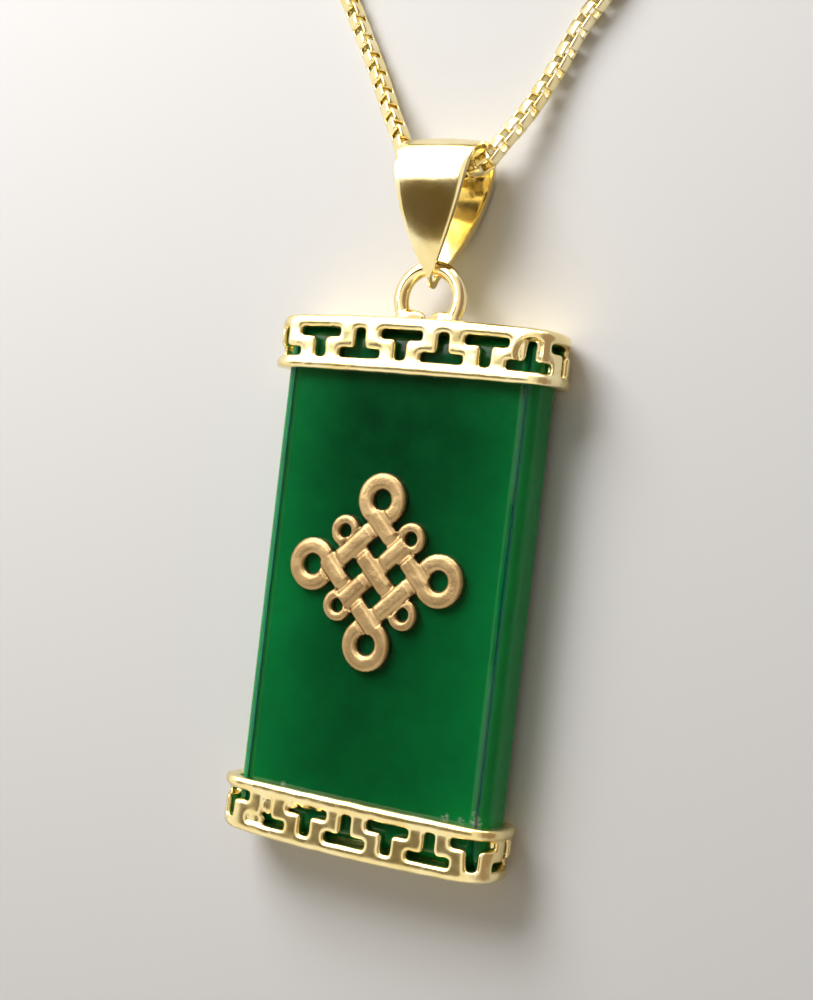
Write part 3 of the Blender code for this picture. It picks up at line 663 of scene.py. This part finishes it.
def woven_drop(x, y):
    """How far the face lies below the top of its sheet, from the bands that pass over and under there."""
    flat = Vector((x / ORNAMENT_SQUASH, y))
    along = Vector(((flat.x + flat.y) / math.sqrt(2), (flat.y - flat.x) / math.sqrt(2)))
    drops = []
    columns = [max(-1, min(1, round(value / band_step))) for value in along]
    off = [value - column * band_step for value, column in zip(along, columns)]
    half = ORNAMENT_BAND / 2
    inside = max(abs(along.x), abs(along.y)) < lattice / 2 + 0.1 * MM
    if inside:
        over = (columns[0] + columns[1]) % 2
        for axis in (0, 1):
            if abs(off[axis]) < half + 0.08 * MM:
                other = off[1 - axis]
                dip = 0.0
                if axis != over:
                    dip = WEAVE_DIP * max(0.0, 1 - (max(0.0, abs(other) - half * 0.7) / (half * 0.9)) ** 2)
                drops.append(band_drop(off[axis], half) + dip)
    for turn in range(4):
        angle = math.pi / 2 * turn
        loop_at = Vector((math.cos(angle), math.sin(angle))) * loop_reach
        ear_at = Vector((math.cos(angle + math.pi / 4), math.sin(angle + math.pi / 4))) * ear_reach
        if not inside:
            drops.append(ring_drop(flat - loop_at, ORNAMENT_LOOP_RADIUS, ORNAMENT_LOOP_HOLE))
            drops.append(ring_drop(flat - ear_at, ORNAMENT_EAR_RADIUS, ORNAMENT_EAR_HOLE))
    return min((drop for drop in drops if drop is not None), default=0.0)


ornament = cast_skin(merged_copy("front_ornament"), "knot_ornament", ORNAMENT_VOXEL, ORNAMENT_SOFTENING)
stone_half = (stone_high.x - stone_low.x) / 2
for vert in ornament.verts:
    under = stone_low.z + stone_size.z + crown_height(vert.co.x, stone_half)
    height = min(1.0, max(0.0, (vert.co.z - under) / ORNAMENT_FULL_RELIEF))
    vert.co.z -= woven_drop(vert.co.x - ornament_middle.x, vert.co.y - ornament_middle.y) * height ** 2

# Satin gold plate on stamped brass: a fine grain with small scratches breaks up its reflections.
satin_gold = gold_plate("satin_gold_plate", "#C4A87A", "#AC8F64", 0.36, 0.8, 0.03, 0.13, 0.012)
add_piece("knot_ornament", mesh_of(ornament, "knot_ornament"), satin_gold, "matte_gold", "front_ornament")


# Paper and light
# Smooth white paper under the pendant. Two bright windows up and to the left give the white reflections, and
# soft light from the same side gives the shadows. The rest of the room is pale.
floor = bmesh.new()
bmesh.ops.create_grid(floor, x_segments=1, y_segments=1, size=1.5)
paper, tree = empty_material("smooth_paper")
place = add_node(tree, "TexCoord", {}).outputs["Object"]
fibre = add_node(tree, "TexNoise", {"Vector": place, "Scale": per_mm(0.4), "Detail": 4.0}).outputs["Fac"]
tooth = add_node(tree, "Bump", {"Height": fibre, "Distance": 0.004 * MM, "Strength": 1.0})
shader = add_node(tree, "BsdfPrincipled", {"Base Color": linear("#E4E3E1"), "Roughness": 0.75,
                                           "Normal": tooth.outputs["Normal"]})
add_node(tree, "OutputMaterial", {"Surface": shader.outputs["BSDF"]})
floor_object = bpy.data.objects.new("paper_floor", mesh_of(floor, "paper_floor"))
floor_object.data.materials.append(paper)
floor_object.location.z = -0.02 * MM
bpy.context.scene.collection.objects.link(floor_object)


def add_panel(name, place, aim, width, height, power, colour):
    """A soft rectangular light aimed at a point. Places are in metres."""
    light = bpy.data.lights.new(name, "AREA")
    light.shape = "RECTANGLE"
    light.size = width
    light.size_y = height
    light.energy = power
    light.color = linear(colour)[:3]
    panel = bpy.data.objects.new(name, light)
    panel.location = place
    panel.rotation_euler = (Vector(aim) - Vector(place)).to_track_quat("-Z", "Y").to_euler()
    panel.visible_camera = False
    bpy.context.scene.collection.objects.link(panel)
    return panel


window = add_panel("window", (-0.26, 0.285, 0.30), (-0.26, 0.285, 0.0), 0.38, 0.475, 2.6, "#FFFEFC")
window.visible_diffuse = False
far_window = add_panel("far_window", (-0.15, 0.55, 0.17), (-0.15, 0.0, 0.17), 0.8, 0.34, 3.0, "#FFFEFC")
far_window.visible_diffuse = False
sky_light = add_panel("light_from_window", (-0.09, 0.14, 0.13), (0.0, 0.0, 0.0), 0.13, 0.13, 0.48, "#FEFDFF")
sky_light.visible_glossy = False

# The room is a pale shell, brown and dim to the right, with one dark part overhead, which the stone and the
# bail's front reflect
DARK_PART = Vector((-0.50, -0.15, 1.0))
DARK_PART_SIZE = Vector((0.42, 0.48, 1.0))

world = bpy.data.worlds.new("room")
world.use_nodes = True
tree = world.node_tree
tree.nodes.clear()
direction = add_node(tree, "TexCoord", {}).outputs["Generated"]
direction_parts = add_node(tree, "SeparateXYZ", {"Vector": direction}).outputs
above = add_node(tree, "Math", {0: direction_parts["Z"], 1: 0.05}, operation="MAXIMUM").outputs[0]
flat = add_node(tree, "CombineXYZ", {"X": above, "Y": above, "Z": above}).outputs[0]
spread = add_node(tree, "VectorMath", {0: direction, 1: flat}, operation="DIVIDE").outputs[0]
offset = add_node(tree, "VectorMath", {0: spread, 1: DARK_PART}, operation="SUBTRACT").outputs[0]
scaled = add_node(tree, "VectorMath", {0: offset, 1: DARK_PART_SIZE}, operation="DIVIDE").outputs[0]
reach = add_node(tree, "VectorMath", {0: scaled}, operation="LENGTH").outputs["Value"]
room = add_node(tree, "ValToRGB", {"Fac": reach})
stops = room.color_ramp.elements
for position, colour in ((0.5, "#5E5138"), (0.82, "#7A6B4C"), (0.98, "#F3EEE4")):
    stop = stops.new(position)
    stop.color = linear(colour)
stops.remove(stops[0])
stops.remove(stops[-1])
right = add_node(tree, "MapRange", {"Value": direction_parts["X"], "From Min": 0.25, "From Max": 0.7,
                                    "To Max": 0.85}).outputs["Result"]
shell = add_node(tree, "Mix", {"Factor": right, 6: room.outputs["Color"], 7: linear("#7A5A3A")},
                 data_type="RGBA").outputs[2]
glossy = add_node(tree, "LightPath", {}).outputs["Is Glossy Ray"]
strength = add_node(tree, "MapRange", {"Value": glossy, "To Min": 0.41, "To Max": 1.2}).outputs["Result"]
lit = add_node(tree, "Background", {"Color": shell, "Strength": strength})
add_node(tree, "OutputWorld", {"Surface": lit.outputs["Background"]})
bpy.context.scene.world = world
bpy.context.scene.view_settings.view_transform = "Standard"
